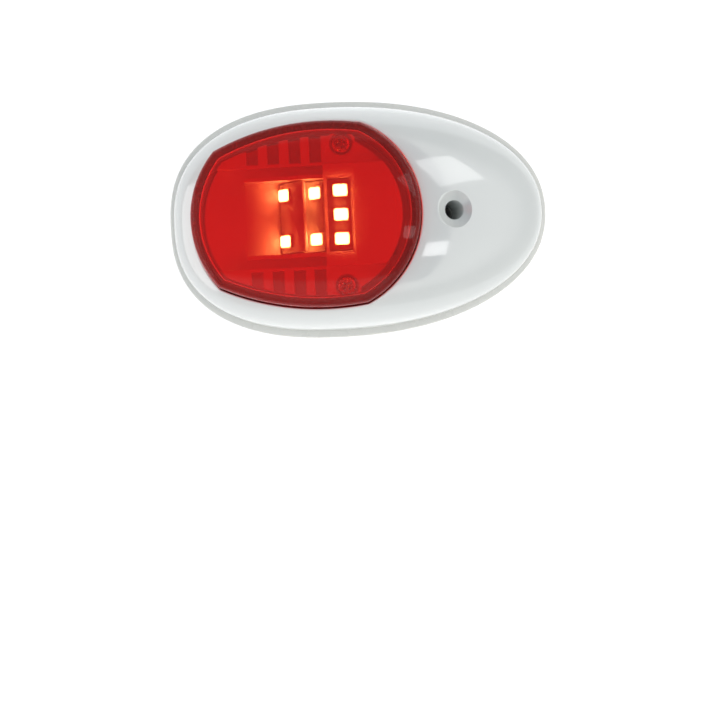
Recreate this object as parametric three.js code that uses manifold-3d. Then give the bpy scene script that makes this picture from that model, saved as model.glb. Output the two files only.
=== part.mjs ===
// Side-mount LED navigation light for the port bow of a small boat.
//
// The light lies on its back. The mounting face is the plane z = 0 and +Z points away from the hull.
// -X points to the bow, +X to the tail, and the origin is the centre of the mounting face.
// All lengths are in millimetres and all angles in degrees.

import * as THREE from 'three';
import { mergeVertices } from 'three/addons/utils/BufferGeometryUtils.js';
import Module from 'manifold-3d';

// ---------------------------------------------------------------- driving dimensions

// Egg-shaped plan: two half superellipses that meet at the widest station.
const WIDEST_X = -5;
const BOW_EXPONENT = 2.45;
const TAIL_EXPONENT = 2.15;
const BASE_EGG = { bow: 36.5, tail: 46.5, half: 26 };
const SHELL_EGG = { bow: 35.5, tail: 45.5, half: 24.4 };

// Levels above the mounting face.
const GASKET_TOP = 1.0;
const BASE_FLOOR_TOP = 2.6;
const BASE_RIM_TOP = 3.9;
const SHELL_BOTTOM = 4.0;
const SHELL_SKIRT = 0.8;
const REAR_COVER_TOP = 5.4;
const CARRIER_BOTTOM = 6.0;
const SEAL_BOTTOM = 7.2;
const LENS_BOTTOM = 7.8;

// Base plate and mounting gasket.
const GASKET_INSET = 0.6;
const RIM_STEP = 0.35;
const SHELL_LAND = 2.4;
const HULL_SCREW_XS = [-26.2, 6.0];
const HULL_SCREW_R = 2.0;
const HULL_SINK_R = 3.8;
const HULL_SINK_DEPTH = 1.3;

// Hook at the bow end of the base plate.
const BOW_HOOK = { x: -36.9, thick: 1.1, reach: 0.65, half: 3.2, top: 6.2 };

// Housing shell.
const SHELL_WALL = 2.2;
const CROWN_X = -1;
const CROWN_RISE = 17;
const CROWN_FALL = 11;
const CROWN_REACH = 41;
const CROWN_POWER = 1.6;
const SHOULDER_POWER = 3;
const SHOULDER_ROOT = 1 / 2.2;

// Lens window: round ends and long flanks, each an arc.
const BOW_ARC = { x: -13.4, y: 0, r: 22.5 };
const TAIL_ARC = { x: -7.9, y: 0, r: 21.5 };
const FLANK_ARC = { x: -6.95, y: -34.9, r: 54.9 };
const WINDOW_CENTRE_X = -10.5;

// Lens.
const FIT_GAP = 0.3;
const LENS_WALL = 2.1;
const LENS_TOP = 27;
const LENS_APEX_X = -7;
const LENS_LENGTH_CROWN = 0.01;
const LENS_WIDTH_CROWN = 0.017;
const LENS_EDGE_R = 0.9;
const LENS_INNER_EDGE_R = 0.4;

// Tail screw hole: it leans with the shell's surface, so that the screw also pulls the bow hook tight.
const TAIL_HOLE = { x: 21.2, lean: 14 };
const TAIL_HOLE_R = 2.05;
const TAIL_CLEARANCE_R = 2.4;
const COUNTERSINK_R = 4.0;
const COUNTERSINK_DEPTH = 1.9;
const PILLAR_R = 3.6;
const PILLAR_BOTTOM = 5.7;

// Rear cover and carrier gasket.
const COVER_FLOOR_Z = SHELL_BOTTOM + 0.5;
const COVER_TAIL_BORE_R = 2.9;
const COVER_SCREW_BORE_R = 1.4;
const BOARD_RAIL = { half: 6, thick: 1.5, bowInset: 0.6, tailInset: 2.0 };
const RING_INSET = 0.25;
const RING_WIDTH = 1.65;

// LED carrier.
const CARRIER_BOW_X = -33;
const CARRIER_TAIL_X = 14;
const CARRIER_HALF = 20;
const CHANNEL_HALF = 10.7;
const CHANNEL_Z = 12.0;
const BAND_Z = 14.5;
const SLOT_Z = 10.5;
const SLOT_STARTS = [-23.3, -18.8, -14.25, -9.85];
const SLOT_WIDTH = 2.55;
const SLOT_RAIL = 0.6;
const TROUGH_START_X = -24;
const TROUGH_HALF = 7.8;
const TROUGH_Z = 10.2;
const RIDGE_END_X = -7.1;
const CHEEK_RISE = 0.9;
const CHEEK_THICK = 0.8;
const DECK_GAP = 3.1;
const DECK_TAIL_GAP = 4.2;
const PAD_R = 3.1;
const WINDOW_FLARE = { bow: 0.7, tail: 0.7, sides: 0.9 };
const FRAME_Z = 16.1;
const TAIL_RAMP = { x0: -0.4, x1: 8, z: 17.6 };
const SCREW_PAD = { x: -3.0, y: 15.05 };
const PAD_SINK = 1.0;
const PAD_RECESS_R = 2.5;
const PAD_BORE_R = 1.3;

// Hollow under the carrier for the driver and the supply cable, as steps along x.
const HOLLOW_HALF = 8.5;
const HOLLOW_STEPS = [
  { x0: -29, x1: -11.5, top: 8.4 },
  { x0: -12, x1: -7.2, top: 9.4 },
  { x0: -7.3, x1: 8, top: 12.6 },
];

// LED boards. The two sloping ones form a saw tooth: the second starts low, behind the first.
const BOARD_THICK = 1.0;
const BOARD_HALF_WIDTH = 7.4;
const BOARD_END_GAP = 0.2;
const FORWARD_BOARD = { x: -16.8, z: 10.2, run: 5.3, tilt: 45 };
const QUARTER_BOARD = { x: -11.5, z: 11.6, run: 4.25, tilt: 38 };
const SIDE_BOARD = { x: -3.9, z: 15.7, length: 4.8 };

// LEDs.
const LED_LENGTH = 3.5;
const LED_WIDTH = 2.8;
const LED_HEIGHT = 0.8;
const LED_GAP = 0.05;
const LED_PITCH = 5.1;
const SLOPE_LED_PITCH = 4.9;

// Screws.
const PAD_FOOT = BAND_Z - 2.5;
const SCREW_BOSS_R = 2.0;
const PAN_HEAD_R = 2.1;
const PAN_HEAD_H = 1.3;
const SCREW_SHANK_R = 1.0;
const SCREW_PILOT_R = 1.1;
const CARRIER_SCREW_LENGTH = 7;
const REAR_SCREW_LENGTH = 5;
const REAR_SCREW = { x: 28.5, y: 8.5 };
const REAR_BOSS_R = 2.7;
const REAR_BOSS_GAP = 0.6;
const REAR_PILOT_TOP = 10;
const CROSS_RECESS = { depth: 0.7, half: 1.15, blade: 0.28 };

// Driver board and cable gland.
const DRIVER_BOARD = { x0: -7.8, x1: 7.2, half: 7.5, z: 6.9, thick: 1.2 };
const PART_GAP = 0.02;
const CHIP = { x0: -0.6, x1: 4.4, y0: -1.95, y1: 1.95, height: 1.5 };
const DIODE = { x0: -6.2, x1: -1.9, y0: -7.0, y1: -4.4, height: 2.1 };
const COIL = { x: -3.9, y: 3.6, r: 2.6, height: 2.8 };
const CAPACITOR = { x: 4.4, y: 5.0, r: 2.0, height: 3.6 };
const RESISTOR = { x: -0.8, pitch: 2.6, length: 2.0, y0: -5.6, y1: -4.35, height: 0.55 };
const LEAD_R = 0.5;
const GLAND_X = -14;
const GLAND_BOTTOM = 3.2;
const GLAND_FLANGE_TOP = 3.9;
const GLAND_TOP = 6.4;
const GLAND_BORE_R = 3.3;
const GLAND_NECK_R = 4.8;
const GLAND_FLANGE_R = 6.2;

// Mesh fineness.
const ROUND_SIDES = 28;
const EGG_STEPS = 76;
const DOME_RINGS = 10;
const LENS_RINGS = 14;

// ---------------------------------------------------------------- solids

const wasm = await Module();
wasm.setup();

function toSolid(geometry) {
  const bare = geometry.clone();
  bare.deleteAttribute('normal');
  bare.deleteAttribute('uv');
  const merged = mergeVertices(bare, 1e-4);
  const vertProperties = new Float32Array(merged.attributes.position.array);
  const triVerts = new Uint32Array(merged.index.array);
  return new wasm.Manifold(new wasm.Mesh({ numProp: 3, vertProperties, triVerts }));
}

function toGeometry(solid) {
  const mesh = solid.getMesh();
  const geometry = new THREE.BufferGeometry();
  geometry.setAttribute('position', new THREE.BufferAttribute(new Float32Array(mesh.vertProperties), 3));
  geometry.setIndex(new THREE.BufferAttribute(new Uint32Array(mesh.triVerts), 1));
  geometry.computeVertexNormals();
  return geometry;
}

function box(x0, x1, y0, y1, z0, z1) {
  const geometry = new THREE.BoxGeometry(x1 - x0, y1 - y0, z1 - z0);
  geometry.translate((x0 + x1) / 2, (y0 + y1) / 2, (z0 + z1) / 2);
  return toSolid(geometry);
}

function upright(x, y, radiusLow, radiusHigh, z0, z1, sides = ROUND_SIDES) {
  const geometry = new THREE.CylinderGeometry(radiusHigh, radiusLow, z1 - z0, sides);
  geometry.rotateX(Math.PI / 2);
  geometry.translate(x, y, (z0 + z1) / 2);
  return toSolid(geometry);
}

// A cone or cylinder on the tail hole's leaning axis. Its ends are heights along that axis, 0 at the
// shell's surface.
function leaning(radiusLow, radiusHigh, z0, z1, sides = ROUND_SIDES) {
  const geometry = new THREE.CylinderGeometry(radiusHigh, radiusLow, z1 - z0, sides);
  geometry.rotateX(Math.PI / 2);
  geometry.translate(0, 0, (z0 + z1) / 2);
  geometry.rotateY(THREE.MathUtils.degToRad(TAIL_HOLE.lean));
  geometry.translate(TAIL_HOLE.x, 0, shellHeight(TAIL_HOLE.x, 0));
  return toSolid(geometry);
}

function turned(profile, sides = ROUND_SIDES) {
  const points = profile.map(([r, z]) => new THREE.Vector2(r, z));
  const geometry = new THREE.LatheGeometry(points, sides);
  geometry.rotateX(Math.PI / 2);
  return geometry;
}

// An outline in plan, given as points, raised from z0 to z1.
function plate(points, z0, z1) {
  const shape = new THREE.Shape(points);
  const geometry = new THREE.ExtrudeGeometry(shape, { depth: z1 - z0, bevelEnabled: false });
  geometry.translate(0, 0, z0);
  return toSolid(geometry);
}

// A side profile in x and z, given as points, run across from y0 to y1, then turned about the z axis.
function sidePrism(profile, y0, y1, turn = 0) {
  const shape = new THREE.Shape(profile.map(([x, z]) => new THREE.Vector2(x, z)));
  const geometry = new THREE.ExtrudeGeometry(shape, { depth: y1 - y0, bevelEnabled: false });
  geometry.rotateX(Math.PI / 2);
  geometry.translate(0, y1, 0);
  geometry.rotateZ(turn);
  return toSolid(geometry);
}

// A closed dome over a plan: reach(angle) is the plan's edge seen from centreX, height(x, y) its top.
function dome(centreX, angles, reach, height, bottom, rings = DOME_RINGS) {
  const vertices = [centreX, 0, height(centreX, 0)];
  const faces = [];
  const count = angles.length;
  for (let ring = 1; ring <= rings; ring += 1) {
    const part = Math.sin((ring / rings) * (Math.PI / 2));
    for (const angle of angles) {
      const x = centreX + part * reach(angle) * Math.cos(angle);
      const y = part * reach(angle) * Math.sin(angle);
      vertices.push(x, y, height(x, y));
    }
  }
  for (const angle of angles) {
    vertices.push(centreX + reach(angle) * Math.cos(angle), reach(angle) * Math.sin(angle), bottom);
  }
  vertices.push(centreX, 0, bottom);
  const lowCentre = vertices.length / 3 - 1;
  for (let i = 0; i < count; i += 1) {
    const j = (i + 1) % count;
    faces.push(0, 1 + i, 1 + j);
    for (let ring = 0; ring < rings; ring += 1) {
      const near = 1 + ring * count;
      const far = near + count;
      faces.push(near + i, far + i, far + j, near + i, far + j, near + j);
    }
    const foot = 1 + rings * count;
    faces.push(lowCentre, foot + j, foot + i);
  }
  const geometry = new THREE.BufferGeometry();
  geometry.setAttribute('position', new THREE.Float32BufferAttribute(vertices, 3));
  geometry.setIndex(faces);
  return toSolid(geometry);
}

// ---------------------------------------------------------------- outlines and surfaces

// 0 at the widest station's centre, 1 on the egg's edge.
function eggNorm(x, y, egg) {
  const along = x < WIDEST_X ? egg.bow : egg.tail;
  const power = x < WIDEST_X ? BOW_EXPONENT : TAIL_EXPONENT;
  const sum = Math.abs((x - WIDEST_X) / along) ** power + Math.abs(y / egg.half) ** power;
  return sum ** (1 / power);
}

function eggReach(angle, egg) {
  return 1 / eggNorm(WIDEST_X + Math.cos(angle), Math.sin(angle), egg);
}

function insetEgg(egg, inset) {
  return { bow: egg.bow - inset, tail: egg.tail - inset, half: egg.half - inset };
}

function evenAngles(steps) {
  return Array.from({ length: steps }, (_, i) => (2 * Math.PI * i) / steps);
}

function eggPoints(egg) {
  return evenAngles(EGG_STEPS).map((angle) => {
    const reach = eggReach(angle, egg);
    return new THREE.Vector2(WIDEST_X + reach * Math.cos(angle), reach * Math.sin(angle));
  });
}

function shellHeight(x, y, inset = 0) {
  const norm = Math.min(1, eggNorm(x, y, insetEgg(SHELL_EGG, inset)));
  const rise = CROWN_RISE - CROWN_FALL * Math.abs((x - CROWN_X) / CROWN_REACH) ** CROWN_POWER;
  const shoulder = (1 - norm ** SHOULDER_POWER) ** SHOULDER_ROOT;
  return SHELL_BOTTOM + SHELL_SKIRT + (rise - inset) * shoulder;
}

// Distance from the window's centre to an arc, along a direction.
function arcReach(angle, arc, inset) {
  const dx = Math.cos(angle);
  const dy = Math.abs(Math.sin(angle));
  const fromX = WINDOW_CENTRE_X - arc.x;
  const fromY = -arc.y;
  const half = dx * fromX + dy * fromY;
  const rest = fromX ** 2 + fromY ** 2 - (arc.r - inset) ** 2;
  return -half + Math.sqrt(half ** 2 - rest);
}

function windowReach(angle, inset = 0) {
  const endArc = Math.cos(angle) > 0 ? TAIL_ARC : BOW_ARC;
  return Math.min(arcReach(angle, endArc, inset), arcReach(angle, FLANK_ARC, inset));
}

// The two arcs cross where the window has a corner.
function cornerAngle(endArc, inset) {
  let low = endArc === TAIL_ARC ? 0.2 : Math.PI - 0.2;
  let high = Math.PI / 2;
  for (let step = 0; step < 40; step += 1) {
    const middle = (low + high) / 2;
    const endIsNearer = arcReach(middle, endArc, inset) < arcReach(middle, FLANK_ARC, inset);
    low = endIsNearer ? middle : low;
    high = endIsNearer ? high : middle;
  }
  return (low + high) / 2;
}

// Directions to the window's edge, with its four corners among them.
function windowAngles(inset, endSteps = 16, flankSteps = 12) {
  const tail = cornerAngle(TAIL_ARC, inset);
  const bow = cornerAngle(BOW_ARC, inset);
  const stops = [-tail, tail, bow, 2 * Math.PI - bow, 2 * Math.PI - tail];
  const steps = [endSteps, flankSteps, endSteps, flankSteps];
  return steps.flatMap((count, k) => {
    const span = stops[k + 1] - stops[k];
    return Array.from({ length: count }, (_, i) => stops[k] + (span * i) / count);
  });
}

function windowPoints(inset) {
  return windowAngles(inset).map((angle) => {
    const reach = windowReach(angle, inset);
    return new THREE.Vector2(WINDOW_CENTRE_X + reach * Math.cos(angle), reach * Math.sin(angle));
  });
}

// How far a point is inside the window's outline.
function windowDepth(x, y, inset) {
  const endArc = x > WINDOW_CENTRE_X ? TAIL_ARC : BOW_ARC;
  const fromEnd = endArc.r - inset - Math.hypot(x - endArc.x, y);
  const fromFlank = FLANK_ARC.r - inset - Math.hypot(x - FLANK_ARC.x, Math.abs(y) - FLANK_ARC.y);
  return Math.max(0, Math.min(fromEnd, fromFlank));
}

// The lens is a crowned top on upright walls, with a rounded edge between them.
function lensHeight(x, y, inset = 0) {
  const thick = inset - FIT_GAP;
  const crown = LENS_LENGTH_CROWN * (x - LENS_APEX_X) ** 2 + LENS_WIDTH_CROWN * y ** 2;
  const radius = Math.max(LENS_INNER_EDGE_R, LENS_EDGE_R - thick);
  const short = Math.max(0, radius - windowDepth(x, y, inset));
  const drop = radius - Math.sqrt(radius ** 2 - short ** 2);
  return LENS_TOP - thick - crown - drop;
}

function lensDome(inset, bottom) {
  const reach = (angle) => windowReach(angle, inset);
  const height = (x, y) => lensHeight(x, y, inset);
  return dome(WINDOW_CENTRE_X, windowAngles(inset), reach, height, bottom, LENS_RINGS);
}

// ---------------------------------------------------------------- materials

function material(color, roughness, metalness = 0) {
  return new THREE.MeshStandardMaterial({ color, roughness, metalness });
}

const MATERIALS = {
  shell: material(0xdfe2dd, 0.2),
  base: material(0xe4e2d6, 0.35),
  cover: material(0xc9ccc6, 0.5),
  gasket: material(0x1c1b1c, 0.9),
  seal: material(0x7a1018, 0.6),
  lens: material(0xc3081b, 0.08),
  carrier: material(0xf0efe9, 0.45),
  board: material(0xe9ece6, 0.4),
  driver: material(0x1d5a38, 0.45),
  led: material(0xfff3c4, 0.3),
  steel: material(0xb9bcbe, 0.3, 1),
  chip: material(0x191a1c, 0.5),
  ferrite: material(0x3a3b3e, 0.7),
  capacitor: material(0x9da3a8, 0.3, 0.8),
  wire: material(0xb3161b, 0.5),
};

const light = new THREE.Group();

function addMesh(name, geometry, look) {
  const mesh = new THREE.Mesh(geometry, MATERIALS[look]);
  mesh.name = name;
  light.add(mesh);
  return mesh;
}

// ---------------------------------------------------------------- mounting parts

function mountingGasket() {
  let solid = plate(eggPoints(insetEgg(BASE_EGG, GASKET_INSET)), 0, GASKET_TOP);
  solid = solid.subtract(upright(GLAND_X, 0, GLAND_FLANGE_R, GLAND_FLANGE_R, -1, GASKET_TOP + 1));
  for (const x of HULL_SCREW_XS) {
    solid = solid.subtract(upright(x, 0, HULL_SCREW_R, HULL_SCREW_R, -1, GASKET_TOP + 1, 16));
  }
  return solid;
}

// A shallow dish: its rim carries the shell, and its floor takes the hull screws and the tail screw.
function basePlate() {
  const foot = plate(eggPoints(BASE_EGG), GASKET_TOP, BASE_RIM_TOP - RIM_STEP);
  const crest = plate(eggPoints(insetEgg(BASE_EGG, RIM_STEP)), GASKET_TOP, BASE_RIM_TOP);
  const dish = eggPoints(insetEgg(SHELL_EGG, SHELL_LAND));
  let solid = foot.add(crest);
  solid = solid.subtract(plate(dish, BASE_FLOOR_TOP, BASE_RIM_TOP + 1));
  const screwX = tailAxisX(BASE_FLOOR_TOP);
  solid = solid.add(upright(screwX, 0, PILLAR_R, PILLAR_R, BASE_FLOOR_TOP - 0.5, BASE_RIM_TOP));
  solid = solid.subtract(leaning(TAIL_CLEARANCE_R, TAIL_CLEARANCE_R, -20, 0, 20));
  solid = solid.subtract(upright(GLAND_X, 0, GLAND_FLANGE_R, GLAND_FLANGE_R, 0, BASE_RIM_TOP));
  for (const x of HULL_SCREW_XS) {
    const sinkTop = BASE_FLOOR_TOP + 0.01;
    solid = solid.subtract(upright(x, 0, HULL_SCREW_R, HULL_SCREW_R, 0, sinkTop, 20));
    const sinkFoot = sinkTop - HULL_SINK_DEPTH;
    solid = solid.subtract(upright(x, 0, HULL_SCREW_R, HULL_SINK_R, sinkFoot, sinkTop, 20));
  }
  return solid.add(bowHook());
}

// Where the tail hole's axis is at a height.
function tailAxisX(z) {
  const drop = shellHeight(TAIL_HOLE.x, 0) - z;
  return TAIL_HOLE.x - drop * Math.tan(THREE.MathUtils.degToRad(TAIL_HOLE.lean));
}

// The hook at the bow end passes through the rear cover's slot and holds that end down.
function bowHook() {
  const { x, thick, reach, half, top } = BOW_HOOK;
  const stem = box(x, x + thick, -half, half, BASE_FLOOR_TOP - 0.5, top);
  const nose = box(x - reach, x + 0.1, -half, half, REAR_COVER_TOP + 0.15, top);
  return stem.add(nose);
}

function rearCover() {
  const outline = insetEgg(SHELL_EGG, SHELL_WALL + FIT_GAP);
  let solid = plate(eggPoints(outline), SHELL_BOTTOM, REAR_COVER_TOP);
  for (const side of [-1, 1]) {
    const y = side * SCREW_PAD.y;
    const boss = upright(SCREW_PAD.x, y, SCREW_BOSS_R, SCREW_BOSS_R, COVER_FLOOR_Z, PAD_FOOT - 0.1, 24);
    solid = solid.add(boss);
    solid = solid.subtract(upright(SCREW_PAD.x, y, SCREW_PILOT_R, SCREW_PILOT_R, 3, BAND_Z, 16));
    solid = solid.subtract(coverBore(REAR_SCREW.x, side * REAR_SCREW.y, COVER_SCREW_BORE_R, 16));
  }
  const rail = BOARD_RAIL;
  for (const x of [DRIVER_BOARD.x0 + rail.bowInset, DRIVER_BOARD.x1 - rail.tailInset]) {
    const railTop = DRIVER_BOARD.z - PART_GAP;
    solid = solid.add(box(x, x + rail.thick, -rail.half, rail.half, COVER_FLOOR_Z, railTop));
  }
  const screwX = tailAxisX((SHELL_BOTTOM + REAR_COVER_TOP) / 2);
  solid = solid.subtract(coverBore(screwX, 0, COVER_TAIL_BORE_R));
  solid = solid.subtract(coverBore(GLAND_X, 0, GLAND_NECK_R + 0.1));
  const { x, thick, half } = BOW_HOOK;
  const slotHalf = half + FIT_GAP;
  const slotEnds = [x - FIT_GAP, x + thick + FIT_GAP];
  return solid.subtract(box(...slotEnds, -slotHalf, slotHalf, SHELL_BOTTOM - 1, REAR_COVER_TOP + 1));
}

function coverBore(x, y, radius, sides = ROUND_SIDES) {
  return upright(x, y, radius, radius, SHELL_BOTTOM - 1, REAR_COVER_TOP + 1.6, sides);
}

// Seals the lens chamber between the rear cover and the carrier's flange.
function carrierGasket() {
  const outline = windowPoints(FIT_GAP + RING_INSET);
  const opening = windowPoints(FIT_GAP + RING_INSET + RING_WIDTH);
  const ring = plate(outline, REAR_COVER_TOP, CARRIER_BOTTOM);
  return ring.subtract(plate(opening, REAR_COVER_TOP - 1, CARRIER_BOTTOM + 1));
}

function cableGland() {
  const profile = [
    [GLAND_BORE_R, GLAND_BOTTOM],
    [GLAND_FLANGE_R - 0.4, GLAND_BOTTOM],
    [GLAND_FLANGE_R - 0.2, GLAND_FLANGE_TOP],
    [GLAND_NECK_R, GLAND_FLANGE_TOP],
    [GLAND_NECK_R, REAR_COVER_TOP + 0.1],
    [GLAND_FLANGE_R - 0.4, REAR_COVER_TOP + 0.1],
    [GLAND_FLANGE_R - 0.8, GLAND_TOP],
    [GLAND_BORE_R, GLAND_TOP],
    [GLAND_BORE_R, GLAND_BOTTOM],
  ];
  return turned(profile, 28);
}

// ---------------------------------------------------------------- housing and lens

function housingShell() {
  const angles = evenAngles(EGG_STEPS);
  const outerReach = (angle) => eggReach(angle, SHELL_EGG);
  const innerReach = (angle) => eggReach(angle, insetEgg(SHELL_EGG, SHELL_WALL));
  const innerHeight = (x, y) => shellHeight(x, y, SHELL_WALL);
  const outer = dome(WIDEST_X, angles, outerReach, shellHeight, SHELL_BOTTOM);
  const inner = dome(WIDEST_X, angles, innerReach, innerHeight, SHELL_BOTTOM - 1);
  let solid = outer.subtract(inner);
  const pillar = leaning(PILLAR_R, PILLAR_R, -20, 4).intersect(outer);
  solid = solid.add(pillar.subtract(box(0, 40, -10, 10, 0, PILLAR_BOTTOM)));
  for (const y of [-REAR_SCREW.y, REAR_SCREW.y]) {
    const bossFoot = REAR_COVER_TOP + REAR_BOSS_GAP;
    const boss = upright(REAR_SCREW.x, y, REAR_BOSS_R, REAR_BOSS_R, bossFoot, LENS_TOP, 24);
    solid = solid.add(boss.intersect(outer));
    solid = solid.subtract(upright(REAR_SCREW.x, y, SCREW_PILOT_R, SCREW_PILOT_R, 3, REAR_PILOT_TOP, 16));
  }
  solid = solid.subtract(plate(windowPoints(0), 6, LENS_TOP));
  solid = solid.subtract(leaning(TAIL_HOLE_R, TAIL_HOLE_R, -20, 5));
  solid = solid.subtract(leaning(TAIL_HOLE_R, COUNTERSINK_R, -COUNTERSINK_DEPTH, 0.02));
  return solid.subtract(leaning(COUNTERSINK_R, COUNTERSINK_R, 0, 3));
}

function lens() {
  const outer = lensDome(FIT_GAP, LENS_BOTTOM);
  const inner = lensDome(FIT_GAP + LENS_WALL, LENS_BOTTOM - 1);
  return outer.subtract(inner);
}

function lensSeal() {
  const ring = plate(windowPoints(FIT_GAP + 0.1), SEAL_BOTTOM, LENS_BOTTOM);
  return ring.subtract(plate(windowPoints(FIT_GAP + LENS_WALL - 0.1), SEAL_BOTTOM - 1, LENS_BOTTOM + 1));
}

// ---------------------------------------------------------------- LED carrier

function boardTop(board) {
  return {
    x: board.x + board.run,
    z: board.z + board.run * Math.tan(THREE.MathUtils.degToRad(board.tilt)),
  };
}

function ledCarrier() {
  const foot = CARRIER_BOTTOM;
  const ridge = boardTop(QUARTER_BOARD);
  const knee = boardTop(FORWARD_BOARD);
  const rise = CHEEK_RISE;
  const centreProfile = [
    [CARRIER_BOW_X, foot],
    [CARRIER_BOW_X, CHANNEL_Z],
    [TROUGH_START_X, CHANNEL_Z],
    [TROUGH_START_X + 1.5, CHANNEL_Z + rise],
    [FORWARD_BOARD.x, CHANNEL_Z + rise],
    [knee.x - rise, knee.z + rise * 0.6],
    [ridge.x - rise * 0.2, ridge.z + rise * 0.8],
    [RIDGE_END_X, ridge.z + rise * 0.8],
    [RIDGE_END_X, FRAME_Z],
    [TAIL_RAMP.x0, FRAME_Z],
    [TAIL_RAMP.x1, TAIL_RAMP.z],
    [CARRIER_TAIL_X, TAIL_RAMP.z],
    [CARRIER_TAIL_X, foot],
  ];
  const troughCut = [
    [TROUGH_START_X, CHANNEL_Z + 0.01],
    [FORWARD_BOARD.x, TROUGH_Z],
    [knee.x, knee.z],
    [QUARTER_BOARD.x, QUARTER_BOARD.z],
    [ridge.x + 0.2, ridge.z + 0.1],
    [ridge.x + 0.2, LENS_TOP],
    [TROUGH_START_X, LENS_TOP],
  ];
  const cheek = TROUGH_HALF + CHEEK_THICK;
  let body = sidePrism(centreProfile, -CHANNEL_HALF, CHANNEL_HALF);
  body = body.add(box(CARRIER_BOW_X, CARRIER_TAIL_X, -CARRIER_HALF, CARRIER_HALF, foot, BAND_Z));
  const channel = [CARRIER_BOW_X - 1, TROUGH_START_X, -CHANNEL_HALF, CHANNEL_HALF];
  body = body.subtract(box(...channel, CHANNEL_Z, LENS_TOP));
  for (const [near, far] of [[cheek, CHANNEL_HALF], [-CHANNEL_HALF, -cheek]]) {
    body = body.subtract(box(TROUGH_START_X - 1, RIDGE_END_X, near, far, CHANNEL_Z, LENS_TOP));
  }
  body = body.subtract(sidePrism(troughCut, -TROUGH_HALF, TROUGH_HALF));
  body = body.subtract(boardBed(FORWARD_BOARD)).subtract(boardBed(QUARTER_BOARD));
  body = body.subtract(sideWindow());
  for (const side of [-1, 1]) {
    body = body.subtract(bandSlots(side));
    const y = side * SCREW_PAD.y;
    const padZ = BAND_Z - PAD_SINK;
    body = body.subtract(upright(SCREW_PAD.x, y, PAD_RECESS_R, PAD_RECESS_R, padZ, LENS_TOP, 24));
    body = body.subtract(upright(SCREW_PAD.x, y, PAD_BORE_R, PAD_BORE_R, foot - 1, LENS_TOP, 16));
  }
  body = body.intersect(deckRoom());
  body = body.add(plate(windowPoints(FIT_GAP), foot, SEAL_BOTTOM));
  for (const y of [-SCREW_PAD.y, SCREW_PAD.y]) {
    const sleeve = SCREW_BOSS_R + FIT_GAP;
    body = body.subtract(upright(SCREW_PAD.x, y, sleeve, sleeve, foot - 1, PAD_FOOT, 24));
  }
  for (const { x0, x1, top } of HOLLOW_STEPS) {
    body = body.subtract(box(x0, x1, -HOLLOW_HALF, HOLLOW_HALF, foot - 1, top));
  }
  return jumperPaths().reduce((rest, path) => rest.subtract(tube(path, LEAD_R + FIT_GAP)), body);
}

// The deck stands clear of the lens wall, a little more at the tail, and the screw pads reach out to it.
function deckRoom() {
  const low = CARRIER_BOTTOM;
  const tailEnd = box(0, 20, -CARRIER_HALF, CARRIER_HALF, low - 1, LENS_TOP);
  const tailR = TAIL_ARC.r - DECK_TAIL_GAP;
  const tailDisc = upright(TAIL_ARC.x, 0, tailR, tailR, low - 2, LENS_TOP + 1, 4 * ROUND_SIDES);
  let room = plate(windowPoints(DECK_GAP), low, LENS_TOP);
  room = room.subtract(tailEnd.subtract(tailDisc));
  for (const y of [-SCREW_PAD.y, SCREW_PAD.y]) {
    room = room.add(upright(SCREW_PAD.x, y, PAD_R, PAD_R, low, BAND_Z, 2 * ROUND_SIDES));
  }
  return room.intersect(lensDome(FIT_GAP + LENS_WALL + FIT_GAP, low));
}

// Room for a sloping board, its thickness and a fit gap below the sloping face.
function boardBed(board) {
  const tilt = THREE.MathUtils.degToRad(board.tilt);
  const length = board.run / Math.cos(tilt);
  const depth = BOARD_THICK + FIT_GAP;
  const geometry = new THREE.BoxGeometry(length + FIT_GAP, 2 * (BOARD_HALF_WIDTH + FIT_GAP), depth + 1);
  geometry.translate(length / 2, 0, (1 - depth) / 2);
  geometry.rotateY(-tilt);
  geometry.translate(board.x, 0, board.z);
  return toSolid(geometry);
}

// The framed window of the side board: a pocket for the board under four sloping walls.
function sideWindow() {
  const { x, z, length } = SIDE_BOARD;
  const bow = x - length / 2 - 0.05;
  const tail = x + length / 2 + 0.05;
  const half = BOARD_HALF_WIDTH + 0.3;
  const top = FRAME_Z + 0.01;
  const pocket = box(bow, tail, -half, half, z - BOARD_THICK - 0.05, z + 0.01);
  const flare = WINDOW_FLARE;
  const along = [[bow, z], [tail, z], [tail + flare.tail, top], [bow - flare.bow, top]];
  const across = [[-half, z], [half, z], [half + flare.sides, top], [-half - flare.sides, top]];
  const lengthwise = sidePrism(along, -2 * half, 2 * half);
  const widthwise = sidePrism(across, -2 * half, 2 * half, Math.PI / 2);
  return pocket.add(lengthwise.intersect(widthwise));
}

function bandSlots(side) {
  const near = side * (CHANNEL_HALF + SLOT_RAIL);
  const far = side * CARRIER_HALF;
  const cuts = SLOT_STARTS.map((x) => {
    return box(x, x + SLOT_WIDTH, Math.min(near, far), Math.max(near, far), SLOT_Z, LENS_TOP);
  });
  return cuts.reduce((all, cut) => all.add(cut));
}

// ---------------------------------------------------------------- boards and LEDs

// A frame that lies on a board's face: its local x runs up the slope and its local z stands off the face.
function faceFrame(board) {
  const frame = new THREE.Group();
  frame.position.set(board.x, 0, board.z);
  frame.rotation.y = -THREE.MathUtils.degToRad(board.tilt);
  light.add(frame);
  return frame;
}

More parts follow.
